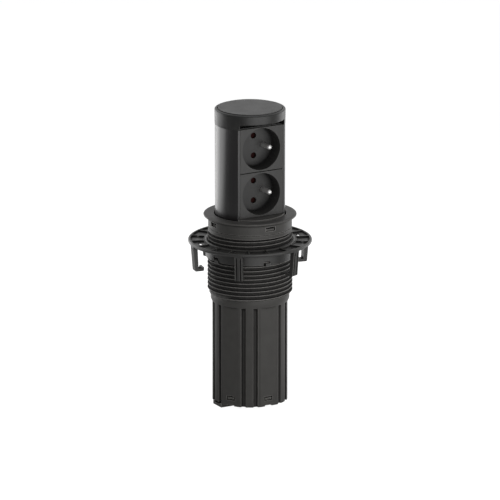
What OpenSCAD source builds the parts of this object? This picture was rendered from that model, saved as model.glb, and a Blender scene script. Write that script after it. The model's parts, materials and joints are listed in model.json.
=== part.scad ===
// Pop up desk socket: a socket tower that slides up out of a housing clamped in a desk top.
// The axis is Z, the desk surface is z = 0 and the sockets face -Y. The tower is drawn raised.

/* [Tower] */
// Radius of the round side of the tower
tower_r = 32.75; // [31:0.25:36]
// Distance from the axis to the flat socket side
tower_flat = 21.5; // [20:0.5:23]
// Wall of the aluminium tower profile
shell_wall = 2; // [1.6:0.1:2.4]
// Depth of the raised tower profile below the desk surface
tower_below = 55; // [48:1:60]
// Height of the shelf under the sockets above the desk surface
shelf_height = 3.2; // [2.6:0.2:6]
// Height of the plug that closes the foot of the tower
base_h = 8; // [7:0.5:10]
// Radius of the cable passage through the tower foot
passage_r = 6; // [4:0.5:8]

/* [Sockets] */
// Width of a socket module
module_w = 44.8; // [43:0.2:46]
// Height of a socket module
module_h = 42.4; // [42.2:0.2:46]
// Seam between neighbouring modules
module_seam = 0.8; // [0.2:0.1:1]
// How far the cap's foot laps over the top of the upper module
top_trim = 0.6; // [0:0.1:0.7]
// Radius of the round plug recess
recess_r = 20; // [18:0.25:20]
// Depth of the plug recess
recess_depth = 15; // [12:0.5:16]
// Wall around the plug recess
cup_wall = 1.2; // [1:0.1:1.2]
// Thickness of the recess floor
floor_t = 2.2; // [1.5:0.1:3]
// Distance of each contact hole from the recess centre
contact_offset = 9.5; // [9:0.1:10]
// Radius of a contact hole
contact_hole_r = 2.9; // [2.5:0.1:3]
// Distance of the earth pin from the recess centre
earth_offset = 10; // [9.5:0.1:11]
// Radius of the earth pin
earth_r = 2.4; // [2.2:0.05:2.5]
// Length of the earth pin above the recess floor
earth_len = 14.4; // [10:0.2:14.6]
// Depth of the box behind each recess
back_depth = 18.3; // [16:0.1:19]
// Travel of a contact shutter
shutter_travel = 6.5; // [6.3:0.1:6.8]

/* [Cap] */
// How far the cap stands out beyond the tower
cap_over = 0.35; // [0.2:0.05:1]
// Height of the cap
cap_h = 15; // [12:0.2:18]
// How much the cap narrows towards its foot
cap_taper = 0.2; // [0.1:0.05:0.6]
// Rounding of the cap's upper edge
cap_round = 1.3; // [0.8:0.1:2]
// Height of the cap's grip lip over the flat side
lip_h = 9.6; // [7:0.1:10.5]
// Depth of the finger recess behind the grip lip
grip_depth = 7; // [3:0.5:8]
// Width of the cap's rim around the disc
cap_rim = 3.3; // [3.1:0.1:4.5]
// Thickness of the disc
disc_t = 1.6; // [1.4:0.1:2]
// How far the disc stands above the cap's rim
disc_rise = 0.8; // [0:0.1:1]
// Groove around the disc
disc_gap = 0.7; // [0.2:0.1:0.8]

/* [Housing] */
// Gap between the tower and its guide
slide_gap = 0.35; // [0.3:0.05:0.5]
// Gap between the cap and the flange hole
cap_gap = 0.8; // [0.4:0.05:1]
// Gap between fixed pieces that fit into each other
fit_gap = 0.1; // [0.05:0.05:0.15]
// Wall of the guide sleeve around the lowered cap
sleeve_wall = 0.9; // [0.7:0.1:1.6]
// Wall of the casing around the guide sleeve
spigot_wall = 1.4; // [1.2:0.1:2]
// Wall of the mounting collar
collar_wall = 2.8; // [2.4:0.1:3.6]
// Length of the mounting collar below the desk surface
collar_len = 74; // [68:1:84]
// Length of the plain collar above the thread
plain_len = 14.2; // [12:0.2:16]
// Width of the flange beyond the collar
flange_over = 4.3; // [3:0.1:8]
// Thickness of the flange
flange_t = 2; // [1.6:0.1:3]
// Width of a snap window in the collar
window_w = 9.7; // [8:0.1:12]
// Height of a snap window in the collar
window_h = 4; // [3.5:0.1:5]
// Depth of the snap windows' centres below the flange
window_drop = 4.8; // [4:0.1:6]
// Wall of the casing tube
casing_wall = 3; // [2.8:0.1:3.4]
// Depth of the six flats on the casing
flat_depth = 0.9; // [0.3:0.1:1]
// Depth of the long grooves in the casing
groove_depth = 2; // [0.5:0.1:2]
// Width of the long grooves in the casing
groove_w = 3.4; // [2:0.1:3.6]
// Height of the smooth band under the thread
band_h = 5.5; // [5:0.5:10]
// Free height left for the cable under the lowered tower
cable_room = 13; // [12:0.5:30]
// Thickness of the end cap's plate
end_plate_t = 3.5; // [2.5:0.1:5]
// Height of the end cap's foot below the casing
foot_h = 3.7; // [2.5:0.1:6]
// Radius of the cable inlet
inlet_r = 4; // [3:0.1:5]

/* [Thread and clamp] */
// Pitch of the collar thread
thread_pitch = 4; // [3.6:0.1:4.4]
// Height of the thread crest above the plain collar
thread_rise = 0.7; // [0.4:0.1:1]
// Depth of the thread from crest to root
thread_depth = 1.7; // [1.4:0.1:1.8]
// Thread gap between the collar and the nut
thread_gap = 0.4; // [0.3:0.05:0.5]
// Distance from the flange to the clamp plate
desk_t = 22.7; // [14:0.1:50]
// Radius of the clamp plate
plate_r = 57.9; // [56:0.1:64]
// Thickness of the clamp plate
plate_t = 3; // [2.6:0.1:4]
// Depth of the pockets in the clamp plate
pocket_depth = 1.7; // [1:0.1:2]
// Number of ribs in the clamp plate
rib_count = 18; // [12:6:24]
// Height of the nut's hub below the clamp plate
hub_h = 12.8; // [11:0.1:18]
// Wall of the nut's hub
hub_wall = 1.2; // [1.1:0.1:2]
// Play between the nut and the clamp plate
nut_play = 0.3; // [0.25:0.05:0.4]
// Length of a hook below the clamp plate
hook_len = 23.8; // [18:0.2:30]
// Width of a hook
hook_w = 7.3; // [6:0.1:9]
// Thickness of a hook's leg at its foot
hook_t = 3.6; // [3:0.1:4.5]
// Length of a hook's foot towards the axis
hook_reach = 9; // [7.5:0.1:9.6]
// Angle of the first hook from the front
hook_angle = -40.3; // [-60:0.1:0]

/* [Hidden] */
$fn = 96;
eps = 0.01;

// Tower heights
face_y = -tower_flat;
module_pitch = module_h + module_seam;
module_z0 = shelf_height + module_seam / 2;
lower_z = module_z0 + module_h / 2;
upper_z = lower_z + module_pitch;
cap_z0 = upper_z + module_h / 2 - top_trim;
cap_top = cap_z0 + cap_h;
shell_z0 = -tower_below;
base_z0 = shell_z0 - base_h;
travel = cap_top - flange_t;

// Socket depths, from the flat side towards the back
recess_floor_y = face_y + recess_depth;
back_y = recess_floor_y + floor_t;
bar_y = back_y + back_depth;
bar_t = 0.8;
cup_r = recess_r + cup_wall;
face_t = 2;
box_half_w = 20.6;
box_inset = 1;
box_half_h = module_h / 2 - box_inset;
post_inset = 3.8;
post_x = module_w / 2 - post_inset;
post_z = module_h / 2 - post_inset;
post_r = 2.1;
post_hole_r = 1.2;
post_hole_depth = 8;
post_screw_gap = 0.05;
post_screw_spare = 1;
shutter_t = 3;
shutter_room = 3.6;
shutter_side = 1.1;
shutter_end = 0.8;
shutter_half_w = contact_hole_r + shutter_side;
shutter_half_h = contact_offset + contact_hole_r + shutter_end;
shutter_gap = 0.4;
ear_x = -11.6;
ear_h = 4;
spring_x = -8;
spring_r = 1.4;
spring_wire = 0.5;
spring_turns = 6;
spring_spare = 3.5;
spring_len = shutter_travel + spring_spare;
contact_wall = 0.95;
contact_grip = 0.45;
contact_bore_r = contact_hole_r - contact_grip;
contact_r = contact_bore_r + contact_wall;
slit_w = 0.8;
slit_len = 6;
contact_len = 11;

// Strips and terminal block
live_x = -7;
neutral_x = 4.7;
bar_x = [live_x, neutral_x, earth_offset];
bar_w = 4.4;
earth_bar_w = 3.6;
bar_end = 2.5;
terminal_rise = 12;
terminal_z = shell_z0 + terminal_rise;
terminal_step = 6;
terminal_grip = 6;
bar_rise = 8;
base_spigot_h = 4;
passage_y = -4;
block_z0 = shell_z0 + base_spigot_h;
wire_hole_r = 1.8;
wire_hole_depth = 6;
block_h = 24;
block_d = 8;

// Screws
screw_r = 1.4;
screw_hole_r = 1.7;
head_r = 2.7;
head_h = 2;
port_r = 2.8;
port_inset = 4.75;
port_reach = tower_r - shell_wall - port_inset;
port_angles = [-140, -77.5, 77.5, 140];
screw_grip = 10;
screw_room = 0.3;
screw_gap = 0.05;
port_web = 2;
socket_r = 1;
socket_depth = 0.9;
head_sink = 0.4;
base_head_z = base_z0 + head_h + head_sink;

// Radii from the tower outwards
cap_r = tower_r + cap_over;
disc_r = cap_r - cap_rim;
bore_r = tower_r + slide_gap;
hole_r = cap_r + cap_gap;
sleeve_r = hole_r + sleeve_wall;
spigot_bore_r = sleeve_r + fit_gap;
spigot_r = spigot_bore_r + spigot_wall;
collar_bore_r = spigot_r + fit_gap;
collar_r = collar_bore_r + collar_wall;
flange_r = collar_r + flange_over;
crest_r = collar_r + thread_rise;
root_r = crest_r - thread_depth;
band_over = 0.6;
band_r = spigot_r + band_over;
casing_r = bore_r + casing_wall;
flat_r = casing_r - flat_depth;

// Heights of the housing
cap_web = 2.5;
sink_room = 1.3;
cap_sink = cap_h + sink_room;
stop_drop = 4;
stop_z = shell_z0 - stop_drop;
lug_gap = 0.3;
lug_w = 4.4;
lug_out = 0.7;
lug_angles = [30, 150, 270];
channel_gap = 0.4;
casing_z0 = base_z0 - travel - cable_room;
end_z0 = casing_z0 - foot_h;
plate_set = 0.3;
end_plate_z0 = casing_z0 + plate_set;
band_chamfer = 2;
collar_tab_angles = [0, 90, 180, 270];
face_angles = [0, 60, 120, 180, 240, 300];
casing_window_w = 8.5;
casing_window_h = 4;
casing_window_rise = 7.5;
casing_window_z = casing_z0 + casing_window_rise;
casing_tab_gap = 1.2;
tab_gap = 0.45;
tab_reach = 1;
tab_root = 1;
plug_r = bore_r - 2 * fit_gap;
plug_wall = 2;
plug_h = 10.2;
inlet_wall = 2;
boss_wall = 3;
boss_h = 8;
bush_lip = 1.5;
edge_notch_w = 7;
edge_notch_h = 1;
foot_angle = -90;
foot_w = 15.5;
foot_r0 = 12;
foot_set = 0.8;
foot_r1 = casing_r - foot_set;
slot_w = 10;
slot_h = 1.2;
slot_depth = 7;
line_drop = 10.1;
line_w = 0.6;
line_depth = 0.3;
groove_angle = 9.6;
groove_slope = 1.2;
pad_w = 10;
pad_h = 24;
pad_t = 0.9;

// Thread
per_turn = 36;
thread_angle = -155;
thread_margin = 1.2;
crest_w = 0.15 * thread_pitch;
root_w = 0.42 * thread_pitch;
thread_z0 = -collar_len + thread_margin;
thread_z1 = -plain_len - thread_margin;
thread_turns = ceil((thread_z1 - thread_z0) / thread_pitch);
thread_split = max(1, floor(per_turn * ((thread_z1 - thread_z0) / thread_pitch - thread_turns + 1)));
wall_lap = 1;

// Clamp plate and nut
plate_top = -desk_t;
plate_z0 = plate_top - plate_t;
nut_bore_r = crest_r + thread_gap;
hub_r = nut_bore_r + hub_wall;
plate_bore_r = hub_r + nut_play;
shoulder_over = 1.6;
shoulder_r = hub_r + shoulder_over;
shoulder_h = 4;
shoulder_edge = 0.6;
lip_over = 1.1;
lip_t = 0.9;
lip_set = 0.3;
lip_z = plate_top - lip_set - lip_t;
seat_r = hub_r + lip_over + nut_play;
hub_z0 = plate_z0 - hub_h;
rim_w = 2.2;
inner_rim_w = 0.9;
inner_rim_drop = 1.2;
rib_w = 1.2;
boss_r = 2.3;
boss_hole_r = 1.1;
boss_drop = 1.1;
hook_count = 6;
hook_set = 0.6;
hook_taper = 1.9;
hook_lean = 0.8;
hook_root = 0.5;
heel_r = 1.2;
foot_t = 2.5;
toe_h = 4.2;
toe_r = 1.3;
gap_w = hook_w + 3;
gap_t = 3;
notch_count = 5;
nut_notch_angle = -7.3;
nut_notch_w = 6.4;
nut_notch_h = 4;
nut_tab_w = 4.6;
nut_tab_h = 3;
nut_tab_drop = 1;
nut_tab_lap = 0.5;
nut_tab_over = 0.9;
liner_t = 0.9;
liner_lap = 0.3;
liner_gap = 0.4;
nut_turns = 2;
nut_split = per_turn / 2;
ridge_rise = 1.6;
nut_ridge_z = hub_z0 + nut_notch_h + ridge_rise;
nut_angle = thread_angle + 360 * ((nut_ridge_z - thread_z0) / thread_pitch - 0.5);

// Turns +X to a direction given by its angle from the front, positive towards +X
module facing(angle) {
  rotate([0, 0, angle - 90]) children();
}

// Cylinder along +Y from y0 to y1
module rod(r, y0, y1) {
  translate([0, y0, 0]) rotate([-90, 0, 0]) cylinder(r = r, h = y1 - y0);
}

// Tube along Z from z0 to z1
module tube(r_out, r_in, z0, z1) {
  difference() {
    translate([0, 0, z0]) cylinder(r = r_out, h = z1 - z0);
    translate([0, 0, z0 - eps]) cylinder(r = r_in, h = z1 - z0 + 2 * eps);
  }
}

// Block that reaches outwards from r0 to r1, centred on the X axis and on height z
module radial_block(r0, r1, w, h, z) {
  translate([r0, -w / 2, z - h / 2]) cube([r1 - r0, w, h]);
}

// Round outline with one flat side
module d_outline(r, flat) {
  intersection() {
    circle(r = r);
    translate([-r, -flat]) square([2 * r, r + flat]);
  }
}

// One [radius, height] profile turned to an angle and lifted
function turned(profile, angle, lift) =
  [for (p = profile) [p[0] * cos(angle), p[0] * sin(angle), p[1] + lift]];

// Closed ridge swept along a right-hand helix
module helix_ridge(profile, angle, z, pitch, turns, steps_per_turn) {
  steps = round(turns * steps_per_turn);
  count = len(profile);
  points = [for (i = [0:steps])
    each turned(profile, angle + i * 360 / steps_per_turn, z + i * pitch / steps_per_turn)];
  sides = [for (i = [0:steps - 1], j = [0:count - 1])
    let (a = i * count + j, b = i * count + (j + 1) % count)
    each [[a, b + count, b], [a, a + count, b + count]]];
  first = [for (j = [1:count - 2]) [0, j, j + 1]];
  last = [for (j = [1:count - 2]) [steps * count, steps * count + j + 1, steps * count + j]];
  polyhedron(points = points, faces = concat(sides, first, last));
}

// Index of the first point of a column of a threaded tube
function column_start(i, turns, split) = i * (4 * turns + 2) - 4 * max(0, i - split);

// Tube with a right-hand ridge on one side and a plain wall on the other. The ridge rises from the
// first column and dies out after turns - 1 full turns and split columns more.
module threaded_tube(base_r, tip_r, wall_r, base_w, tip_w, z0, z1, start_angle, start_z, turns, split) {
  n = per_turn;
  ridge = [[base_r, -base_w / 2], [tip_r, -tip_w / 2], [tip_r, tip_w / 2], [base_r, base_w / 2]];
  columns = [for (i = [0:n - 1])
    concat([[base_r, z0]],
      [for (k = [0:(i < split ? turns : turns - 1) - 1], p = ridge)
        let (is_end = (k == 0 && i == 0) || (k == turns - 1 && i == split - 1))
        [is_end ? base_r : p[0], p[1] + start_z + thread_pitch * (k + i / n)]],
      [[base_r, z1]])];
  wall = [[wall_r, z0], [wall_r, z1]];
  points = [for (c = [concat(columns, [for (i = [0:n - 1]) wall])], i = [0:2 * n - 1])
    each turned(c[i], start_angle + i * 360 / n, 0)];
  wall0 = column_start(n, turns, split);
  top = 4 * turns + 1;
  function at(i, j) = column_start(i, turns, split) + j;
  function last(i) = at(i, i < split ? top : top - 4);
  steady = [for (i = [0:n - 2], j = [0:(i < split - 1 ? top : top - 4) - 1])
    each (i == split - 1 && j == top - 5
      ? concat([[at(i, j), last(i + 1), at(i + 1, j)]],
               [for (m = [j:top - 1]) [at(i, m), at(i, m + 1), last(i + 1)]])
      : [[at(i, j), at(i, j + 1), at(i + 1, j + 1)], [at(i, j), at(i + 1, j + 1), at(i + 1, j)]])];
  seam = concat([for (m = [0:4]) [at(n - 1, 0), m + 1, m]], [[at(n - 1, 0), at(n - 1, 1), 5]],
    [for (j = [1:top - 5]) each [[at(n - 1, j), at(n - 1, j + 1), j + 5], [at(n - 1, j), j + 5, j + 4]]]);
  rims = [for (i = [0:n - 1]) let (k = (i + 1) % n, a = wall0 + 2 * i, b = wall0 + 2 * k)
    each [[b, b + 1, a + 1], [b, a + 1, a], [last(k), last(i), a + 1], [last(k), a + 1, b + 1],
          [a, at(i, 0), at(k, 0)], [b, a, at(k, 0)]]];
  faces = concat(steady, seam, rims);
  polyhedron(points = points, faces = tip_r > base_r ? faces : [for (f = faces) [f[2], f[1], f[0]]]);
}

// Corner points of a quarter round, from one angle to another
function arc(cx, cy, r, a0, a1, steps) =
  [for (i = [0:steps]) let (a = a0 + (a1 - a0) * i / steps) [cx + r * cos(a), cy + r * sin(a)]];

// Flange, collar and outside thread in one moulding
module mounting_collar() {
  edge_r = 0.45 * flange_t;
  color([0.16, 0.16, 0.155]) union() {
    difference() {
      union() {
        rotate_extrude() polygon(concat([[0, 0]], arc(flange_r - edge_r, edge_r, edge_r, -90, 90, 6),
          [[flange_r - 2.5 * edge_r, flange_t], [0, flange_t]]));
        translate([0, 0, -plain_len]) cylinder(r = collar_r, h = plain_len + eps);
      }
      translate([0, 0, -plain_len - 1]) cylinder(r = collar_bore_r, h = plain_len + 1);
      translate([0, 0, -eps]) cylinder(r = hole_r, h = flange_t + 2 * eps);
      for (a = collar_tab_angles)
        facing(a) radial_block(collar_bore_r - 1, collar_r + 1, window_w, window_h, -window_drop);
      tube(collar_r + 1, collar_r - line_depth, -line_drop - line_w, -line_drop);
    }
    threaded_tube(root_r, crest_r, (collar_bore_r + fit_gap) / cos(180 / per_turn), root_w, crest_w,
      -collar_len, -plain_len + wall_lap, thread_angle, thread_z0, thread_turns, thread_split);
  }
}

// Liner that guides the tower and stops it at the top
module guide_sleeve() {
  color([0.12, 0.12, 0.12]) difference() {
    tube(sleeve_r, bore_r, stop_z, 0);
    translate([0, 0, -cap_sink]) cylinder(r = hole_r, h = cap_sink + eps);
    for (a = [90, 270])
      facing(a) radial_block(bore_r - 2, bore_r + pad_t + fit_gap, pad_w + 2 * fit_gap,
        pad_h + 2 * fit_gap, (stop_z - cap_sink) / 2);
  }
}

// Felt strips that hold the tower at any height
module friction_pads() {
  color([0.2, 0.2, 0.22]) for (a = [90, 270])
    intersection() {
      tube(bore_r + pad_t, bore_r, stop_z, -cap_sink);
      facing(a) radial_block(bore_r - 2, bore_r + 2, pad_w, pad_h, (stop_z - cap_sink) / 2);
    }
}

// One long groove beside a bead; side is 1 or -1
module groove_cut(side) {
  floor_r = casing_r - groove_depth;
  rotate(side * groove_angle)
    polygon([[floor_r, side * groove_w / 2], [casing_r + 1, side * groove_w / 2],
             [casing_r + 1, -side * (groove_w / 2 + groove_slope)], [floor_r, -side * groove_w / 2]]);
}

// Outline of the casing with its faces, grooves and beads
module casing_outline() {
  difference() {
    intersection() {
      circle(r = casing_r);
      circle(r = flat_r / cos(30), $fn = 6);
    }
    for (a = face_angles, side = [-1, 1])
      rotate(a + 30 - 90) groove_cut(side);
  }
}

// Long tube that hangs under the desk and holds the lowered tower
module casing() {
  half_h = window_h / 2;
  color([0.17, 0.17, 0.165]) difference() {
    union() {
      translate([0, 0, -collar_len]) cylinder(r = spigot_r, h = collar_len);
      translate([0, 0, -collar_len - band_h]) cylinder(r = band_r, h = band_h);
      translate([0, 0, -collar_len - band_h - band_chamfer])
        cylinder(r1 = casing_r, r2 = band_r, h = band_chamfer);
      translate([0, 0, casing_z0]) linear_extrude(-collar_len - band_h - casing_z0) casing_outline();
      for (a = collar_tab_angles)
        facing(a) radial_block(spigot_r - tab_root, collar_bore_r + tab_reach, window_w - 2 * tab_gap,
          half_h - tab_gap, -window_drop - half_h / 2);
    }
    translate([0, 0, casing_z0 - 1]) cylinder(r = bore_r, h = -casing_z0 + 2);
    translate([0, 0, stop_z]) cylinder(r = spigot_bore_r, h = -stop_z + 1);
    for (a = collar_tab_angles)
      facing(a) radial_block(sleeve_r - 1, collar_bore_r + tab_reach + 1, window_w - 2 * tab_gap,
        half_h, -window_drop + half_h / 2);
    for (a = lug_angles)
      facing(a) radial_block(bore_r - 1, tower_r + lug_out + channel_gap + slide_gap, lug_w + 2 * channel_gap,
        2 * (stop_z - casing_z0), casing_z0);
    for (a = face_angles) {
      facing(a) radial_block(bore_r - 1, casing_r + 1, casing_window_w, casing_window_h, casing_window_z);
      facing(a) radial_block(bore_r - 1, casing_r + 1, edge_notch_w, 2 * edge_notch_h, casing_z0);
    }
    facing(foot_angle) radial_block(bore_r - 1, casing_r + 1, slot_w, 2 * slot_h, casing_z0);
  }
}

// Plate and plug that close the foot of the casing, with a foot and a slot for prising it out
module end_cap() {
  color([0.15, 0.15, 0.145]) difference() {
    union() {
      translate([0, 0, end_plate_z0]) cylinder(r = plug_r, h = end_plate_t);
      tube(plug_r, plug_r - plug_wall, end_plate_z0, casing_z0 + plug_h);
      translate([0, 0, end_plate_z0]) cylinder(r = inlet_r + inlet_wall + boss_wall, h = boss_h);
      for (a = face_angles)
        facing(a) radial_block(plug_r - tab_root, flat_r - fit_gap,
          casing_window_w - 2 * casing_tab_gap, casing_window_h - 2 * casing_tab_gap, casing_window_z);
      facing(foot_angle) {
        translate([foot_r0, -foot_w / 2, end_z0]) cube([foot_r1 - foot_r0, foot_w, foot_h - fit_gap]);
        translate([foot_r0, -foot_w / 2, end_z0])
          cube([plug_r - tab_root - foot_r0, foot_w, end_plate_z0 - end_z0 + eps]);
      }
    }
    translate([0, 0, end_plate_z0 - 1]) cylinder(r = inlet_r + inlet_wall, h = boss_h + 2);
    facing(foot_angle) radial_block(foot_r1 - slot_depth, casing_r + 1, slot_w, 2 * slot_h, casing_z0);
  }
}

// Rubber bush that lines the cable inlet
module cable_bush() {
  lip_z0 = end_plate_z0 + boss_h;
  color([0.08, 0.08, 0.08]) union() {
    tube(inlet_r + inlet_wall - fit_gap, inlet_r, end_plate_z0, lip_z0 + bush_lip);
    tube(inlet_r + inlet_wall + bush_lip, inlet_r, lip_z0, lip_z0 + bush_lip);
  }
}

// Outline of one hook in radius and height, with its foot turned towards the axis
function hook_outline(top_r, low_r, z_top, z_low) = concat(
  [[top_r - hook_t - hook_lean, z_top], [top_r, z_top]],
  arc(low_r - heel_r, z_low + heel_r, heel_r, 0, -90, 4),
  arc(low_r - hook_reach + toe_r, z_low + toe_r, toe_r, -90, -180, 4),
  arc(low_r - hook_reach + toe_r, z_low + toe_h - toe_r, toe_r, 180, 0, 8),
  [[low_r - hook_reach + 2 * toe_r, z_low + foot_t], [low_r - hook_t, z_low + foot_t]]);

// One hook under the clamp plate, along +X
module hook() {
  top_r = plate_r - hook_set;
  low_r = top_r - hook_taper;
  z_low = plate_z0 - hook_len;
  channel_w = 0.16 * hook_w;
  channel_depth = 0.28 * hook_t;
  difference() {
    translate([0, hook_w / 2, 0]) rotate([90, 0, 0]) linear_extrude(hook_w)
      polygon(hook_outline(top_r, low_r, plate_z0 + hook_root, z_low));
    for (side = [-1, 1])
      translate([low_r - channel_depth, side * 0.25 * hook_w - channel_w / 2, z_low - 1])
        cube([hook_taper + 2, channel_w, hook_len]);
  }
}

// Ring with ribbed pockets, holes and hooks that presses against the underside of the desk
module clamp_plate() {
  pocket_r0 = seat_r + inner_rim_w;
  pocket_r1 = plate_r - rim_w;
  edge_r = 0.42 * plate_t;
  mid_r = (pocket_r0 + pocket_r1) / 2;
  inner_top = plate_top - inner_rim_drop;
  color([0.15, 0.15, 0.145]) union() {
    difference() {
      rotate_extrude() polygon(concat(
        [[pocket_r0, plate_top], [pocket_r0, inner_top], [seat_r, inner_top], [seat_r, lip_z - nut_play],
         [plate_bore_r, lip_z - nut_play], [plate_bore_r, plate_z0]],
        arc(plate_r - edge_r, plate_z0 + edge_r, edge_r, -90, 0, 4),
        arc(plate_r - edge_r, plate_top - edge_r, edge_r, 0, 90, 4)));
      difference() {
        tube(pocket_r1, pocket_r0, plate_top - pocket_depth, plate_top + 1);
        for (i = [0:rib_count - 1])
          facing(hook_angle + (i + 0.5) * 360 / rib_count)
            radial_block(pocket_r0 - 1, pocket_r1 + 1, rib_w, 2 * pocket_depth + 2, plate_top);
        for (i = [0:hook_count - 1])
          facing(hook_angle + (i + 0.5) * 360 / hook_count)
            translate([mid_r, 0, plate_z0]) cylinder(r = boss_r, h = plate_t - boss_drop);
      }
      for (i = [0:hook_count - 1]) {
        facing(hook_angle + (i + 0.5) * 360 / hook_count)
          translate([mid_r, 0, plate_z0 - 1]) cylinder(r = boss_hole_r, h = plate_t + 2);
        facing(hook_angle + i * 360 / hook_count)
          radial_block(mid_r - gap_t, mid_r, gap_w, 4 * plate_t, plate_top);
      }
    }
    for (i = [0:hook_count - 1])
      facing(hook_angle + i * 360 / hook_count) hook();
  }
}

// Threaded hub that carries the clamp plate and screws along the collar
module ring_nut() {
  shoulder_z = plate_z0 - nut_play;
  tip_r = root_r + thread_gap;
  shell_r = nut_bore_r + liner_lap;
  ridge_base_w = 0.48 * thread_pitch;
  ridge_tip_w = 0.28 * thread_pitch;
  color([0.14, 0.14, 0.135]) union() {
    difference() {
      rotate_extrude() polygon([[shell_r, hub_z0], [hub_r, hub_z0], [hub_r, shoulder_z - shoulder_h],
        [shoulder_r, shoulder_z - shoulder_edge], [shoulder_r, shoulder_z], [hub_r, shoulder_z],
        [hub_r, lip_z], [hub_r + lip_over, lip_z], [hub_r + lip_over, lip_z + lip_t / 2],
        [hub_r, lip_z + lip_t], [shell_r, lip_z + lip_t]]);
      for (i = [0:notch_count - 1])
        facing(nut_notch_angle + i * 360 / notch_count)
          radial_block(root_r, hub_r + 2, nut_notch_w, 2 * nut_notch_h, hub_z0);
    }
    for (i = [0:notch_count - 1])
      facing(nut_notch_angle + i * 360 / notch_count)
        translate([0, (nut_notch_w - nut_tab_w) / 2 + nut_tab_lap, 0])
          radial_block(shell_r, hub_r + nut_tab_over, nut_tab_w, nut_tab_h,
            hub_z0 - nut_tab_drop + nut_tab_h / 2);
    threaded_tube(nut_bore_r, tip_r, nut_bore_r + liner_t, ridge_base_w, ridge_tip_w,
      hub_z0 + nut_notch_h + liner_gap, lip_z + lip_t - liner_gap, nut_angle, nut_ridge_z,
      nut_turns, nut_split);
  }
}

// Places a shape at each screw port of the tower profile
module at_ports() {
  for (a = port_angles)
    facing(a) translate([port_reach, 0, 0]) children();
}

// Extruded aluminium profile with an open front and four screw ports
module tower_shell() {
  inner_r = tower_r - shell_wall;
  color([0.13, 0.13, 0.14]) translate([0, 0, shell_z0]) linear_extrude(cap_z0 - shell_z0) {
    difference() {
      d_outline(tower_r, tower_flat);
      d_outline(inner_r, tower_flat - shell_wall);
      translate([-module_w / 2 - fit_gap, -tower_flat - 1])
        square([module_w + 2 * fit_gap, shell_wall + 2]);
    }
    for (a = port_angles)
      rotate(a - 90) difference() {
        union() {
          translate([port_reach, 0]) circle(r = port_r);
          translate([port_reach + screw_hole_r, -port_web / 2])
            square([inner_r + shell_wall / 4 - port_reach - screw_hole_r, port_web]);
        }
        translate([port_reach, 0]) circle(r = screw_r + screw_gap);
      }
  }
}

// Piece that fills the front of the profile below the sockets and makes the tower round there
module front_filler() {
  tongue = 4.5;
  color([0.16, 0.16, 0.155]) translate([0, 0, shell_z0]) linear_extrude(shelf_height - shell_z0) {
    difference() {
      circle(r = tower_r);
      translate([-tower_r - 1, face_y]) square([2 * tower_r + 2, 2 * tower_r]);
    }
    translate([-module_w / 2, face_y - 1]) square([module_w, tongue + 1]);
  }
}

// Plug at the foot of the tower, with the lugs that stop it and keep it from turning
module tower_base() {
  port_gap = 0.6;
  front_gap = 5;
  foot_inset = 0.3;
  lug_root = 3;
  color([0.15, 0.15, 0.145]) difference() {
    union() {
      translate([0, 0, base_z0]) cylinder(r = tower_r - foot_inset, h = base_h);
      translate([0, 0, shell_z0 - eps]) linear_extrude(base_spigot_h)
        d_outline(port_reach - port_r - port_gap, tower_flat - front_gap);
      for (a = lug_angles)
        facing(a) translate([tower_r - lug_root, -lug_w / 2, base_z0])
          cube([lug_root + lug_out, lug_w, stop_z - lug_gap - base_z0]);
    }
    translate([0, passage_y, base_z0 - 1]) cylinder(r = passage_r, h = base_h + base_spigot_h + 2);
    at_ports() {
      translate([0, 0, base_z0 - 1]) cylinder(r = screw_hole_r, h = base_h + 2);
      translate([0, 0, base_z0 - 1]) cylinder(r = head_r + screw_room, h = base_head_z - base_z0 + 1);
    }
  }
}

// Pan head screw along -Z with its head's underside at z = 0
module pan_screw(length) {
  difference() {
    union() {
      translate([0, 0, -length]) cylinder(r = screw_r, h = length + eps);
      cylinder(r = head_r, h = head_h);
    }
    translate([0, 0, head_h - socket_depth]) cylinder(r = socket_r, h = 2 * socket_depth, $fn = 6);
  }
}

// Screws that hold the plug in the profile's ports
module base_screws() {
  color("silver") at_ports()
    translate([0, 0, base_head_z]) mirror([0, 0, 1]) pan_screw(shell_z0 - base_head_z + screw_grip);
}

// Cap with a round rim, a grip lip over the flat side and a screwed floor
module cap_body() {
  foot_r = cap_r - cap_taper;
  cavity_r = port_reach + head_r + screw_room;
  grip_wall = 2.2;
  grip_end = 1.4;
  grip_half_w = sqrt(pow(foot_r, 2) - pow(tower_flat, 2)) - grip_end;
  roof_t = 1.8;
  sill_h = 0.9;
  cut_z = cap_top - lip_h;
  rim_z = cap_top - disc_rise;
  color([0.16, 0.16, 0.155]) difference() {
    rotate_extrude() polygon(concat([[0, cap_z0], [foot_r, cap_z0]],
      arc(cap_r - cap_round, rim_z - cap_round, cap_round, 0, 90, 6), [[0, rim_z]]));
    translate([-grip_half_w, face_y + face_t - 2 * cap_r, cap_z0 - 1])
      cube([2 * grip_half_w, 2 * cap_r, cut_z - cap_z0 + 1]);
    translate([-grip_half_w, face_y - 1, cap_z0 + sill_h])
      cube([2 * grip_half_w, grip_depth + 1, cut_z - cap_z0 - sill_h]);
    translate([0, 0, cap_z0 + cap_web]) linear_extrude(cap_h)
      d_outline(cavity_r, tower_flat - grip_depth - grip_wall);
    translate([0, 0, cap_top - disc_t]) cylinder(r = disc_r + disc_gap, h = disc_t + 1);
    translate([0, 0, cut_z - 1]) linear_extrude(lip_h - disc_t - roof_t + 1) difference() {
      circle(r = foot_r - grip_wall);
      translate([-cap_r, face_y - fit_gap]) square([2 * cap_r, 2 * cap_r]);
    }
    at_ports() translate([0, 0, cap_z0 - 1]) cylinder(r = screw_hole_r, h = cap_web + 2);
  }
}

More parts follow.
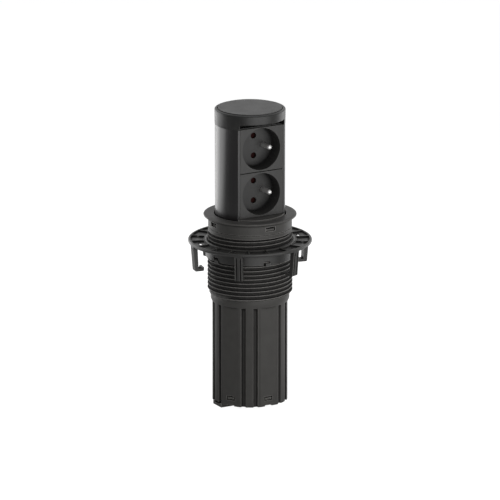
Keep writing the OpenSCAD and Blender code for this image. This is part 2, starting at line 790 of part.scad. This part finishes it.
// Disc let into the top of the cap
module cap_disc() {
  edge = 0.3;
  color([0.3, 0.3, 0.295]) rotate_extrude()
    polygon([[0, cap_top - disc_t], [disc_r, cap_top - disc_t], [disc_r, cap_top - edge],
             [disc_r - edge, cap_top], [0, cap_top]]);
}

// Screws that hold the cap on the profile's ports
module cap_screws() {
  color("silver") at_ports() translate([0, 0, cap_z0 + cap_web]) pan_screw(cap_web + screw_grip);
}

// Places a shape at the two screw posts of a module
module at_posts() {
  for (side = [-1, 1]) translate([side * post_x, 0, side * post_z]) children();
}

// Front of a socket module with its plug recess, clip walls and screw posts
module socket_face() {
  clip_y = face_y + shell_wall + fit_gap;
  clip_wall = 1.5;
  clip_h = 10;
  clip_t = 1.8;
  side_depth = 6;
  difference() {
    union() {
      translate([-module_w / 2, face_y, -module_h / 2]) cube([module_w, face_t, module_h]);
      rod(cup_r, face_y, back_y);
      for (side = [-1, 1]) {
        translate([side * (module_w - clip_wall) / 2 - clip_wall / 2, face_y, -module_h / 2])
          cube([clip_wall, side_depth, module_h]);
        translate([side * module_w / 2 - clip_t / 2, clip_y, -clip_h / 2]) cube([clip_t, clip_wall, clip_h]);
      }
      at_posts() rod(post_r, face_y + face_t / 2, back_y);
    }
    rod(recess_r, face_y - 1, recess_floor_y);
    for (side = [-1, 1]) translate([0, 0, side * contact_offset]) rod(contact_hole_r, face_y, back_y + 1);
    translate([earth_offset, 0, 0]) rod(earth_r, face_y, back_y + 1);
    at_posts() rod(post_hole_r, back_y - post_hole_depth, back_y + 1);
  }
}

// Box behind a recess that holds the shutter, the contacts and the earth pin
module socket_box() {
  room_y = back_y + shutter_room;
  room_top = shutter_half_h + shutter_gap;
  ledge_z = shutter_half_h - ear_h - spring_len;
  difference() {
    translate([-box_half_w, back_y, -box_half_h]) cube([2 * box_half_w, back_depth, 2 * box_half_h]);
    translate([-shutter_half_w - shutter_gap, back_y - 1, -shutter_half_h - shutter_travel - shutter_gap])
      cube([2 * (shutter_half_w + shutter_gap), shutter_room + 1, room_top + shutter_half_h + shutter_travel
        + shutter_gap]);
    translate([ear_x - shutter_gap, back_y - 1, ledge_z])
      cube([-ear_x, shutter_room + 1, room_top - ledge_z]);
    for (side = [-1, 1]) translate([0, 0, side * contact_offset]) {
      rod(contact_r + fit_gap, room_y - 1, room_y + contact_len);
      rod(screw_r, room_y, bar_y + 1);
    }
    translate([earth_offset, 0, 0]) rod(earth_r, back_y - 1, bar_y + 1);
    at_posts() {
      rod(screw_hole_r, back_y - 1, bar_y + 1);
      rod(head_r + screw_room, bar_y - head_h, bar_y + 1);
    }
  }
}

// Screws that join a module's box to its front
module box_screws() {
  at_posts() difference() {
    union() {
      rod(post_hole_r - post_screw_gap, back_y - post_hole_depth + post_screw_spare, bar_y - head_h + eps);
      rod(head_r, bar_y - head_h, bar_y - fit_gap);
    }
    translate([0, bar_y - fit_gap - socket_depth, 0]) rotate([-90, 0, 0])
      cylinder(r = socket_r, h = 2 * socket_depth, $fn = 6);
  }
}

// Earth pin with a round tip
module earth_pin() {
  tip_y = recess_floor_y - earth_len;
  translate([earth_offset, 0, 0]) {
    rod(earth_r, tip_y + earth_r, bar_y);
    translate([0, tip_y + earth_r, 0]) sphere(r = earth_r);
  }
}

// Slit contact sleeves with their tails
module contacts() {
  y0 = back_y + shutter_room + 2 * fit_gap;
  y1 = back_y + shutter_room + contact_len;
  end_wall = 2;
  for (side = [-1, 1]) translate([0, 0, side * contact_offset]) difference() {
    union() {
      rod(contact_r, y0, y1);
      rod(screw_r - fit_gap, y1 - eps, bar_y);
    }
    rod(contact_bore_r, y0 - 1, y1 - end_wall);
    translate([-contact_r - 1, y0 - 1, -slit_w / 2]) cube([2 * contact_r + 2, slit_len + 1, slit_w]);
  }
}

// Sliding shutter that covers both contact holes
module shutter() {
  y0 = back_y + (shutter_room - shutter_t) / 2;
  window_z = shutter_travel - contact_offset;
  difference() {
    union() {
      translate([-shutter_half_w, y0, -shutter_half_h])
        cube([2 * shutter_half_w, shutter_t, 2 * shutter_half_h]);
      translate([ear_x, y0, shutter_half_h - ear_h]) cube([-ear_x, shutter_t, ear_h]);
    }
    translate([0, 0, window_z]) rod(contact_hole_r + 2 * fit_gap, y0 - 1, y0 + shutter_t + 1);
  }
}

// Coil spring under the shutter's ear
module shutter_spring() {
  y = back_y + shutter_room / 2;
  z1 = shutter_half_h - ear_h;
  wire = spring_wire / 2;
  inner_r = spring_r - spring_wire;
  pitch = (spring_len - spring_wire) / spring_turns;
  translate([spring_x, y, z1 - spring_len + wire])
    helix_ridge([[inner_r, -wire], [spring_r, -wire], [spring_r, wire], [inner_r, wire]],
      0, 0, pitch, spring_turns, 12);
}

// Front of the upper socket
module upper_socket_face() {
  color([0.2, 0.2, 0.195]) difference() {
    translate([0, 0, upper_z]) socket_face();
    translate([-module_w, face_y - 1, cap_z0]) cube([2 * module_w, 2 * tower_r, module_h]);
  }
}

// Front of the lower socket
module lower_socket_face() {
  color([0.2, 0.2, 0.195]) translate([0, 0, lower_z]) socket_face();
}

// Box of the upper socket
module upper_socket_box() {
  color([0.25, 0.25, 0.25]) translate([0, 0, upper_z]) socket_box();
}

// Box of the lower socket
module lower_socket_box() {
  color([0.25, 0.25, 0.25]) translate([0, 0, lower_z]) socket_box();
}

// Screws of the upper socket
module upper_box_screws() {
  color("silver") translate([0, 0, upper_z]) box_screws();
}

// Screws of the lower socket
module lower_box_screws() {
  color("silver") translate([0, 0, lower_z]) box_screws();
}

// Earth pin of the upper socket
module upper_earth_pin() {
  color("gainsboro") translate([0, 0, upper_z]) earth_pin();
}

// Earth pin of the lower socket
module lower_earth_pin() {
  color("gainsboro") translate([0, 0, lower_z]) earth_pin();
}

// Contacts of the upper socket
module upper_contacts() {
  color("goldenrod") translate([0, 0, upper_z]) contacts();
}

// Contacts of the lower socket
module lower_contacts() {
  color("goldenrod") translate([0, 0, lower_z]) contacts();
}

// Shutter of the upper socket
module upper_shutter() {
  color([0.25, 0.09, 0.07]) translate([0, 0, upper_z]) shutter();
}

// Shutter of the lower socket
module lower_shutter() {
  color([0.25, 0.09, 0.07]) translate([0, 0, lower_z]) shutter();
}

// Shutter spring of the upper socket
module upper_shutter_spring() {
  color("silver") translate([0, 0, upper_z]) shutter_spring();
}

// Shutter spring of the lower socket
module lower_shutter_spring() {
  color("silver") translate([0, 0, lower_z]) shutter_spring();
}

// Moves a shape to the terminal screw of one strip
module at_terminal(i) {
  translate([bar_x[i], 0, terminal_z + (i % 2) * terminal_step]) children();
}

// Strip along the backs of the modules, from the terminal block to a top height
module bar_strip(i, w, top_z) {
  bottom_z = shell_z0 + bar_rise;
  difference() {
    translate([bar_x[i] - w / 2, bar_y, bottom_z]) cube([w, bar_t, top_z - bottom_z]);
    at_terminal(i) rod(screw_r + fit_gap, bar_y - 1, bar_y + bar_t + 1);
  }
}

// Tab from a strip at x to a contact tail on the centre line
module bar_tab(x, z) {
  tail_reach = screw_r + bar_t / 2;
  translate([min(x, -tail_reach), bar_y, z - bar_end])
    cube([abs(x) + tail_reach, bar_t, 2 * bar_end]);
}

// Live strip
module live_bar() {
  color("peru") union() {
    bar_strip(0, bar_w, upper_z + contact_offset + bar_end);
    for (z = [lower_z, upper_z]) bar_tab(bar_x[0], z + contact_offset);
  }
}

// Neutral strip
module neutral_bar() {
  color("peru") union() {
    bar_strip(1, bar_w, upper_z - contact_offset + bar_end);
    for (z = [lower_z, upper_z]) bar_tab(bar_x[1], z - contact_offset);
  }
}

// Earth strip
module earth_bar() {
  color("goldenrod") bar_strip(2, earth_bar_w, upper_z + bar_end);
}

// Block on the tower foot where the supply wires are clamped
module terminal_block() {
  margin = 3;
  x0 = bar_x[0] - bar_w / 2 - margin;
  x1 = bar_x[2] + earth_bar_w / 2 + margin;
  color([0.85, 0.85, 0.82]) difference() {
    translate([x0, bar_y - block_d, block_z0 - eps]) cube([x1 - x0, block_d, block_h]);
    for (i = [0:2]) {
      at_terminal(i) rod(screw_r, bar_y - block_d + margin / 2, bar_y + 1);
      translate([bar_x[i], bar_y - block_d / 2, block_z0 + block_h - wire_hole_depth])
        cylinder(r = wire_hole_r, h = wire_hole_depth + 1);
    }
  }
}

// Screws that clamp the strips on the terminal block
module terminal_screws() {
  color("silver") for (i = [0:2])
    at_terminal(i) translate([0, bar_y + bar_t, 0]) rotate([-90, 0, 0]) pan_screw(terminal_grip);
}

mounting_collar();
guide_sleeve();
friction_pads();
casing();
end_cap();
cable_bush();
clamp_plate();
ring_nut();
tower_shell();
front_filler();
tower_base();
base_screws();
cap_body();
cap_disc();
cap_screws();
upper_socket_face();
lower_socket_face();
upper_socket_box();
lower_socket_box();
upper_box_screws();
lower_box_screws();
upper_earth_pin();
lower_earth_pin();
upper_contacts();
lower_contacts();
upper_shutter();
lower_shutter();
upper_shutter_spring();
lower_shutter_spring();
live_bar();
neutral_bar();
earth_bar();
terminal_block();
terminal_screws();
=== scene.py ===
"""Looks of the pop up desk socket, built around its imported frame."""

import json
import math

import bpy
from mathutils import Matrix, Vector


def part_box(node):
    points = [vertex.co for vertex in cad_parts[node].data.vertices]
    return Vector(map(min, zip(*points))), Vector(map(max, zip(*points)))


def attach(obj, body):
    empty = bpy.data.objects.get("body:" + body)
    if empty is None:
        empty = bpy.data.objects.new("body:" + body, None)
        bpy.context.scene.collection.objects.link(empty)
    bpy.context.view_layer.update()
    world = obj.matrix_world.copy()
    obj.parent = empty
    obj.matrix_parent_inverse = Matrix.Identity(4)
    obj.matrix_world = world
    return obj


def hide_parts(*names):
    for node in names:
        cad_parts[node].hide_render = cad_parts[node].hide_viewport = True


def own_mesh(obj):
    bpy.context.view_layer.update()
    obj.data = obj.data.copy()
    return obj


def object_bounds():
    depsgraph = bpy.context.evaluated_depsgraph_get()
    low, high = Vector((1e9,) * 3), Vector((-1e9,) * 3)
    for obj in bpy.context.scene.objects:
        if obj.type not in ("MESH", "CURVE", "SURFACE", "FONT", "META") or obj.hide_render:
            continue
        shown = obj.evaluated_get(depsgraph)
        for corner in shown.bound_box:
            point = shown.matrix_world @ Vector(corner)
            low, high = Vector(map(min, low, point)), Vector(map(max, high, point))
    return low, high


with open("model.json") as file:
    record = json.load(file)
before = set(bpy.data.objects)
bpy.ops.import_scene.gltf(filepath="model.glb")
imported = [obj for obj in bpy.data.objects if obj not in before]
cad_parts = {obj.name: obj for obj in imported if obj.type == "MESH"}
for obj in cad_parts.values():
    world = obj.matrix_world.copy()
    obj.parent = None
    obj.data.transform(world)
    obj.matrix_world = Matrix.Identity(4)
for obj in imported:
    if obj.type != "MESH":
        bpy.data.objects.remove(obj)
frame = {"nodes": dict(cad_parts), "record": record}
cad_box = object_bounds()
nodes = frame["nodes"]

MM = 0.001

# Camera and picture
IMAGE_SIDE = 500
PIXELS_PER_MM = 1.07
VIEW_AZIMUTH = -29.3
VIEW_ELEVATION = 15.8
CAMERA_DISTANCE = 5.5
CAMERA_SENSOR = 36.0
CAMERA_REACH = 50.0
TARGET = Vector((0.0, 0.0, -34.5 * MM))

# Room and floor
ROOM_LIGHT = 0.1
ROOM_FRONT = 0.25
BACKDROP_START = -0.1
BACKDROP_FULL = 0.6
WHITE = (1.0, 1.0, 1.0, 1.0)
FLOOR_GAP = 0.2 * MM
FLOOR_HALF = 6.0
FLOOR_GLOW = 0.96
FLOOR_COLOUR = (0.4, 0.4, 0.4, 1.0)


def direction(azimuth, elevation):
    """Unit vector from the object towards an azimuth from the front and an elevation, in degrees."""
    a = math.radians(azimuth)
    e = math.radians(elevation)
    return Vector((math.sin(a) * math.cos(e), -math.cos(a) * math.cos(e), math.sin(e)))


def aim(obj, target):
    obj.rotation_euler = (target - obj.location).to_track_quat("-Z", "Y").to_euler()


def make_camera():
    data = bpy.data.cameras.new("photo_camera")
    seen_width = IMAGE_SIDE / PIXELS_PER_MM * MM
    data.sensor_width = CAMERA_SENSOR
    data.lens = CAMERA_SENSOR * CAMERA_DISTANCE / seen_width
    data.clip_end = CAMERA_REACH
    camera = bpy.data.objects.new("photo_camera", data)
    bpy.context.scene.collection.objects.link(camera)
    camera.location = TARGET + CAMERA_DISTANCE * direction(VIEW_AZIMUTH, VIEW_ELEVATION)
    aim(camera, TARGET)
    bpy.context.scene.camera = camera


# Light and stage
def soft_box(name, azimuth, height, distance, width, length, power):
    """Rectangular lamp at an azimuth from the photo's viewing direction, aimed at the object's middle."""
    data = bpy.data.lights.new(name, "AREA")
    data.shape = "RECTANGLE"
    data.size = width
    data.size_y = length
    data.energy = power
    lamp = bpy.data.objects.new(name, data)
    bpy.context.scene.collection.objects.link(lamp)
    lamp.location = distance * direction(VIEW_AZIMUTH + azimuth, 0.0)
    lamp.location.z = height
    lamp.visible_camera = False
    aim(lamp, TARGET)


def make_lights():
    soft_box("key_box", azimuth=29, height=0.04, distance=0.55, width=0.77, length=0.42, power=3.1)
    soft_box("left_back_box", azimuth=-125, height=0.05, distance=0.5, width=0.6, length=0.44, power=1.75)
    soft_box("right_back_box", azimuth=122, height=0.06, distance=0.6, width=0.4, length=0.44, power=1.1)
    soft_box("top_box", azimuth=30, height=0.7, distance=0.12, width=0.7, length=0.7, power=1.4)


def backdrop_share(tree, place):
    """One towards the white backdrop behind the object and less towards the open front of the room."""
    along = tree.nodes.new("ShaderNodeVectorMath")
    along.operation = "DOT_PRODUCT"
    along.inputs[1].default_value = -direction(VIEW_AZIMUTH, 0.0)
    tree.links.new(place, along.inputs[0])
    return map_range(tree, along.outputs["Value"], BACKDROP_START, BACKDROP_FULL, ROOM_FRONT, 1.0)


def combine(tree, operation, first, second):
    node = tree.nodes.new("ShaderNodeMath")
    node.operation = operation
    tree.links.new(first, node.inputs[0])
    tree.links.new(second, node.inputs[1])
    return node.outputs["Value"]


def seen_directly(tree, place):
    """How white a ray sees the room: in full from the camera, and by the backdrop in metal and glass."""
    paths = tree.nodes.new("ShaderNodeLightPath")
    mirrored = combine(tree, "MAXIMUM", paths.outputs["Is Glossy Ray"], paths.outputs["Is Transmission Ray"])
    shared = combine(tree, "MULTIPLY", mirrored, backdrop_share(tree, place))
    return combine(tree, "MAXIMUM", paths.outputs["Is Camera Ray"], shared)


def make_world():
    world = bpy.data.worlds.new("studio")
    bpy.context.scene.world = world
    world.use_nodes = True
    tree = world.node_tree
    tree.nodes.clear()
    room = tree.nodes.new("ShaderNodeBackground")
    room.inputs["Strength"].default_value = ROOM_LIGHT
    white = tree.nodes.new("ShaderNodeBackground")
    for background in (room, white):
        background.inputs["Color"].default_value = WHITE
    place = tree.nodes.new("ShaderNodeTexCoord")
    mix = tree.nodes.new("ShaderNodeMixShader")
    out = tree.nodes.new("ShaderNodeOutputWorld")
    tree.links.new(seen_directly(tree, place.outputs["Generated"]), mix.inputs["Fac"])
    tree.links.new(room.outputs["Background"], mix.inputs[1])
    tree.links.new(white.outputs["Background"], mix.inputs[2])
    tree.links.new(mix.outputs["Shader"], out.inputs["Surface"])


def make_floor():
    z = cad_box[0][2] - FLOOR_GAP
    corners = [(FLOOR_HALF * x, FLOOR_HALF * y, z) for x, y in ((-1, -1), (1, -1), (1, 1), (-1, 1))]
    mesh = bpy.data.meshes.new("floor")
    mesh.from_pydata(corners, [], [(0, 1, 2, 3)])
    floor = bpy.data.objects.new("floor", mesh)
    bpy.context.scene.collection.objects.link(floor)
    material = bpy.data.materials.new("pale_floor")
    material.use_nodes = True
    tree = material.node_tree
    tree.nodes.clear()
    paper = tree.nodes.new("ShaderNodeBsdfDiffuse")
    paper.inputs["Color"].default_value = FLOOR_COLOUR
    glow = tree.nodes.new("ShaderNodeEmission")
    glow.inputs["Strength"].default_value = FLOOR_GLOW
    place = tree.nodes.new("ShaderNodeNewGeometry")
    heading = tree.nodes.new("ShaderNodeVectorMath")
    heading.operation = "NORMALIZE"
    both = tree.nodes.new("ShaderNodeAddShader")
    mix = tree.nodes.new("ShaderNodeMixShader")
    out = tree.nodes.new("ShaderNodeOutputMaterial")
    tree.links.new(place.outputs["Position"], heading.inputs[0])
    tree.links.new(paper.outputs["BSDF"], both.inputs[0])
    tree.links.new(glow.outputs["Emission"], both.inputs[1])
    tree.links.new(seen_directly(tree, heading.outputs["Vector"]), mix.inputs["Fac"])
    tree.links.new(paper.outputs["BSDF"], mix.inputs[1])
    tree.links.new(both.outputs["Shader"], mix.inputs[2])
    tree.links.new(mix.outputs["Shader"], out.inputs["Surface"])
    mesh.materials.append(material)


# Materials: reaches are in mm, and tones are shares of the plain colour; the hollow and recess tones are
# painted shade, the edge tones a painted highlight
SHADE_SAMPLES = 8
HOLLOW_REACH = 3.0
HOLLOW_CLOSED = 0.68
HOLLOW_OPEN = 0.97
# painted shade in hollows
HOLLOW_SHADE_TONE = 0.15
HOLLOW_ROUGHNESS = 0.95
EDGE_REACH = 0.85
EDGE_SHARP = 0.5
EDGE_FLAT = 0.9
# painted highlight along outer edges
EDGE_HIGHLIGHT_TONE = 3.5
FAINT_EDGE_HIGHLIGHT_TONE = 1.2
RECESS_REACH = 30.0
RECESS_CLOSED = 0.4
# painted shade on recess floors
RECESS_SHADE_TONE = 0.4
NOISE_LOW = 0.3
NOISE_HIGH = 0.7
CLOUD_MM = 9.0


def base_material(name, metallic=0.0, specular=0.5):
    material = bpy.data.materials.new(name)
    material.use_nodes = True
    tree = material.node_tree
    shader = tree.nodes["Principled BSDF"]
    shader.inputs["Metallic"].default_value = metallic
    shader.inputs["Specular IOR Level"].default_value = specular
    return material, tree, shader


def object_noise(tree, size_mm, detail=2.0, stretch=(1.0, 1.0, 1.0)):
    """Noise whose grains measure size_mm, longer along the axes whose stretch is large."""
    place = tree.nodes.new("ShaderNodeTexCoord")
    mapping = tree.nodes.new("ShaderNodeMapping")
    mapping.inputs["Scale"].default_value = tuple(1.0 / s for s in stretch)
    noise = tree.nodes.new("ShaderNodeTexNoise")
    noise.inputs["Scale"].default_value = 1.0 / (size_mm * MM)
    noise.inputs["Detail"].default_value = detail
    tree.links.new(place.outputs["Object"], mapping.inputs["Vector"])
    tree.links.new(mapping.outputs["Vector"], noise.inputs["Vector"])
    return noise.outputs["Fac"]


def map_range(tree, value, low, high, low_out, high_out):
    span = tree.nodes.new("ShaderNodeMapRange")
    span.inputs["From Min"].default_value = low
    span.inputs["From Max"].default_value = high
    span.inputs["To Min"].default_value = low_out
    span.inputs["To Max"].default_value = high_out
    tree.links.new(value, span.inputs["Value"])
    return span.outputs["Result"]


def openness(tree, reach_mm, inside):
    """One on open faces, less in hollows within reach, or along outer edges where inside is true."""
    shade = tree.nodes.new("ShaderNodeAmbientOcclusion")
    shade.samples = SHADE_SAMPLES
    shade.inside = inside
    shade.only_local = True
    shade.inputs["Distance"].default_value = reach_mm * MM
    return shade.outputs["AO"]


def scaled(tree, colour, factor):
    scale = tree.nodes.new("ShaderNodeVectorMath")
    scale.operation = "SCALE"
    tree.links.new(colour, scale.inputs[0])
    tree.links.new(factor, scale.inputs["Scale"])
    return scale.outputs["Vector"]


def painted_shade_and_highlight(tree, colour, roughness, edge_highlight_tone):
    """Painted shade: darker colour in hollows, which are also made rougher and matt, and a painted
    highlight: paler colour along outer edges.
    """
    around = openness(tree, HOLLOW_REACH, inside=False)
    behind = openness(tree, EDGE_REACH, inside=True)
    open_share = map_range(tree, around, HOLLOW_CLOSED, HOLLOW_OPEN, 0.0, 1.0)
    # painted shade: base colour darkened in hollows
    hollow_shade = map_range(tree, open_share, 0.0, 1.0, HOLLOW_SHADE_TONE, 1.0)
    # painted highlight: base colour lightened along outer edges
    edge = map_range(tree, behind, EDGE_SHARP, EDGE_FLAT, edge_highlight_tone, 1.0)
    tone = scaled(tree, colour, combine(tree, "MULTIPLY", hollow_shade, edge))
    matt = tree.nodes.new("ShaderNodeMix")
    matt.inputs["A"].default_value = HOLLOW_ROUGHNESS
    tree.links.new(open_share, matt.inputs["Factor"])
    tree.links.new(roughness, matt.inputs["B"])
    return tone, matt.outputs["Result"]


def painted_recess_shade(tree, colour):
    """Painted shade: darker colour on the floor of a wide recess."""
    around = openness(tree, RECESS_REACH, inside=False)
    # painted shade: base colour darkened where the recess walls close it in
    return scaled(tree, colour, map_range(tree, around, RECESS_CLOSED, 1.0, RECESS_SHADE_TONE, 1.0))


def vary_colour(tree, fac, tone, spread):
    ramp = tree.nodes.new("ShaderNodeValToRGB")
    dark, light = ramp.color_ramp.elements
    dark.position = NOISE_LOW
    light.position = NOISE_HIGH
    dark.color = tuple(c * (1 - spread) for c in tone) + (1.0,)
    light.color = tuple(c * (1 + spread) for c in tone) + (1.0,)
    tree.links.new(fac, ramp.inputs["Fac"])
    return ramp.outputs["Color"]


def vary_roughness(tree, fac, roughness, spread):
    return map_range(tree, fac, NOISE_LOW, NOISE_HIGH, roughness - spread, roughness + spread)


def finish(tree, shader, colour, roughness):
    tree.links.new(colour, shader.inputs["Base Color"])
    tree.links.new(roughness, shader.inputs["Roughness"])


def add_bump(tree, shader, fac, depth_mm, strength):
    bump = tree.nodes.new("ShaderNodeBump")
    bump.inputs["Strength"].default_value = strength
    bump.inputs["Distance"].default_value = depth_mm * MM
    tree.links.new(fac, bump.inputs["Height"])
    tree.links.new(bump.outputs["Normal"], shader.inputs["Normal"])


def moulded_plastic(name, tone, roughness, grain_mm=0.5, specular=0.4, edge_highlight_tone=EDGE_HIGHLIGHT_TONE, recess=False):
    """Finely grained plastic with painted shade in hollows and a painted highlight on outer edges, and with
    painted shade on recess floors where recess is true.
    """
    material, tree, shader = base_material(name, specular=specular)
    cloud = object_noise(tree, CLOUD_MM, detail=3.0)
    colour = vary_colour(tree, cloud, tone, spread=0.06)
    # painted shade on the floors of recesses
    if recess:
        colour = painted_recess_shade(tree, colour)
    gloss = vary_roughness(tree, cloud, roughness, spread=0.04)
    finish(tree, shader, *painted_shade_and_highlight(tree, colour, gloss, edge_highlight_tone))
    add_bump(tree, shader, object_noise(tree, grain_mm, detail=4.0), depth_mm=0.03, strength=0.35)
    return material


def anodised_profile(name, tone, roughness):
    """Extruded aluminium with faint draw lines along its length under a black anodised skin."""
    material, tree, shader = base_material(name, specular=0.45)
    lines = object_noise(tree, size_mm=0.5, detail=3.0, stretch=(1.0, 1.0, 90.0))
    colour = vary_colour(tree, lines, tone, spread=0.1)
    finish(tree, shader, colour, vary_roughness(tree, lines, roughness, spread=0.03))
    add_bump(tree, shader, lines, depth_mm=0.008, strength=0.25)
    return material


def plated_metal(name, tone, roughness, metallic=1.0):
    """Drawn or stamped metal with a thin plating, slightly cloudy."""
    material, tree, shader = base_material(name, metallic=metallic)
    cloud = object_noise(tree, size_mm=2.4, detail=3.0)
    colour = vary_colour(tree, cloud, tone, spread=0.05)
    finish(tree, shader, colour, vary_roughness(tree, cloud, roughness, spread=0.05))
    add_bump(tree, shader, object_noise(tree, size_mm=0.6), depth_mm=0.01, strength=0.15)
    return material


def felt(name, tone, roughness):
    """Pressed fibres that lie along the strip."""
    material, tree, shader = base_material(name, specular=0.2)
    fibres = object_noise(tree, size_mm=0.4, detail=6.0, stretch=(1.0, 1.0, 3.0))
    colour = vary_colour(tree, fibres, tone, spread=0.3)
    finish(tree, shader, colour, vary_roughness(tree, fibres, roughness, spread=0.05))
    add_bump(tree, shader, fibres, depth_mm=0.15, strength=0.8)
    return material


def make_materials():
    # every moulded plastic below carries painted shade in hollows and a painted highlight on its edges
    return {
        "housing_plastic": moulded_plastic("housing_plastic", (0.053, 0.0515, 0.049), 0.45, specular=0.15),
        "sleeve_plastic": moulded_plastic("sleeve_plastic", (0.012, 0.012, 0.012), 0.5, specular=0.25),
        "clamp_plastic": moulded_plastic("clamp_plastic", (0.019, 0.0185, 0.0175), 0.44),
        "cap_plastic": moulded_plastic("cap_plastic", (0.016, 0.016, 0.0155), 0.4, grain_mm=0.35,
                                       specular=0.3, edge_highlight_tone=FAINT_EDGE_HIGHLIGHT_TONE),
        "disc_plastic": moulded_plastic("disc_plastic", (0.046, 0.046, 0.045), 0.5, grain_mm=0.3,
                                        edge_highlight_tone=FAINT_EDGE_HIGHLIGHT_TONE),
        "black_anodised": anodised_profile("black_anodised", (0.009, 0.0085, 0.009), 0.3),
        "socket_plastic": moulded_plastic("socket_plastic", (0.026, 0.0255, 0.0245), 0.48, grain_mm=0.35,
                                          edge_highlight_tone=FAINT_EDGE_HIGHLIGHT_TONE, recess=True),
        "box_plastic": moulded_plastic("box_plastic", (0.08, 0.08, 0.08), 0.5, edge_highlight_tone=FAINT_EDGE_HIGHLIGHT_TONE),
        "steel": plated_metal("steel", (0.58, 0.58, 0.57), 0.3),
        "nickel": plated_metal("nickel", (0.74, 0.73, 0.72), 0.36, metallic=0.75),
        "brass": plated_metal("brass", (0.78, 0.58, 0.28), 0.28),
        "shutter_plastic": moulded_plastic("shutter_plastic", (0.012, 0.002, 0.0016), 0.7, specular=0.05),
        "terminal_plastic": moulded_plastic("terminal_plastic", (0.7, 0.69, 0.63), 0.4,
                                            edge_highlight_tone=FAINT_EDGE_HIGHLIGHT_TONE),
        "rubber": moulded_plastic("rubber", (0.022, 0.022, 0.022), 0.75, grain_mm=0.8,
                                  edge_highlight_tone=FAINT_EDGE_HIGHLIGHT_TONE),
        "felt": felt("felt", (0.07, 0.07, 0.075), 0.93),
    }


def dress_nodes(materials):
    """Gives each frame node the finish of its own slot."""
    for part in frame["record"]["subparts"]:
        mesh = nodes[part["node"]].data
        mesh.materials.clear()
        mesh.materials.append(materials[part["material_slot"]])


# Softer edges on the outer pieces
EDGE_MM = {
    "casing": 0.25, "end_cap": 0.25, "clamp_plate": 0.2, "tower_shell": 0.25, "front_filler": 0.2,
    "cap_body": 0.2, "upper_socket_face": 0.35, "lower_socket_face": 0.35,
}
EDGE_SEGMENTS = 2
EDGE_ANGLE = math.radians(35)
FLAT_ANGLE = math.radians(0.4)
WELD_GAP = 0.002 * MM


def soften(node, width_mm):
    """Rounds a node's sharp edges by modifiers, after its flat faces are joined."""
    obj = nodes[node]
    weld = obj.modifiers.new("weld", "WELD")
    weld.merge_threshold = WELD_GAP
    flat = obj.modifiers.new("flat_faces", "DECIMATE")
    flat.decimate_type = "DISSOLVE"
    flat.angle_limit = FLAT_ANGLE
    bevel = obj.modifiers.new("edge", "BEVEL")
    bevel.width = width_mm * MM
    bevel.segments = EDGE_SEGMENTS
    bevel.limit_method = "ANGLE"
    bevel.angle_limit = EDGE_ANGLE
    bevel.use_clamp_overlap = True
    bevel.harden_normals = True


# Springs drawn as coils of round wire in place of their nodes
SPRINGS = {"upper_shutter_spring": "upper_shutter_slide", "lower_shutter_spring": "lower_shutter_slide"}
SPRING_BODY = "tower"
SPRING_SLOT = "steel"
SPRING_WIRE = 0.5 * MM
SPRING_TURNS = 7
SPRING_CLEARANCE = 0.05 * MM
STEPS_PER_TURN = 28
WIRE_SIDES = 10
UP = Vector((0.0, 0.0, 1.0))


def coil_height(turn, length):
    """Height of the wire's middle after so many turns, with one closed turn at each end."""
    if turn < 1:
        return SPRING_WIRE * (0.5 + turn)
    if turn > SPRING_TURNS - 1:
        return length - SPRING_WIRE * (0.5 + SPRING_TURNS - turn)
    pitch = (length - 3 * SPRING_WIRE) / (SPRING_TURNS - 2)
    return 1.5 * SPRING_WIRE + pitch * (turn - 1)


def coil_points(foot, coil_radius, length):
    """Rings of points round the wire, one after another along the coil."""
    points = []
    for step in range(SPRING_TURNS * STEPS_PER_TURN + 1):
        turn = step / STEPS_PER_TURN
        angle = 2 * math.pi * turn
        outward = Vector((math.cos(angle), math.sin(angle), 0.0))
        middle = foot + coil_radius * outward + coil_height(turn, length) * UP
        for side in range(WIRE_SIDES):
            around = 2 * math.pi * side / WIRE_SIDES
            points.append(middle + SPRING_WIRE / 2 * (math.cos(around) * outward - math.sin(around) * UP))
    return points


def tube_faces(rings, sides):
    """Quads between each ring and the next, with a flat cap on both ends."""
    faces = [tuple(reversed(range(sides))), tuple(range((rings - 1) * sides, rings * sides))]
    for ring in range(rings - 1):
        for side in range(sides):
            a = ring * sides + side
            b = ring * sides + (side + 1) % sides
            faces.append((a, b, b + sides, a + sides))
    return faces


def make_spring(node, material):
    """Coil of round wire in the place of a spring's node, from its fixed foot up to the shutter's ear."""
    low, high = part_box(node)
    length = high.z - low.z - SPRING_CLEARANCE
    foot = Vector(((low.x + high.x) / 2, (low.y + high.y) / 2, low.z))
    points = coil_points(foot, (high.x - low.x - SPRING_WIRE) / 2, length)
    mesh = bpy.data.meshes.new(node + "_coil")
    mesh.from_pydata(points, [], tube_faces(SPRING_TURNS * STEPS_PER_TURN + 1, WIRE_SIDES))
    mesh.shade_smooth()
    mesh.materials.append(material)
    spring = bpy.data.objects.new(node + "_coil", mesh)
    bpy.context.scene.collection.objects.link(spring)
    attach(spring, SPRING_BODY)
    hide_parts(node)
    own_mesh(spring)


make_camera()
make_world()
make_floor()
make_lights()
finishes = make_materials()
dress_nodes(finishes)
for spring_node, spring_joint in SPRINGS.items():
    make_spring(spring_node, finishes[SPRING_SLOT])
for node_name, width in EDGE_MM.items():
    soften(node_name, width)

bpy.context.scene.view_settings.view_transform = "Standard"
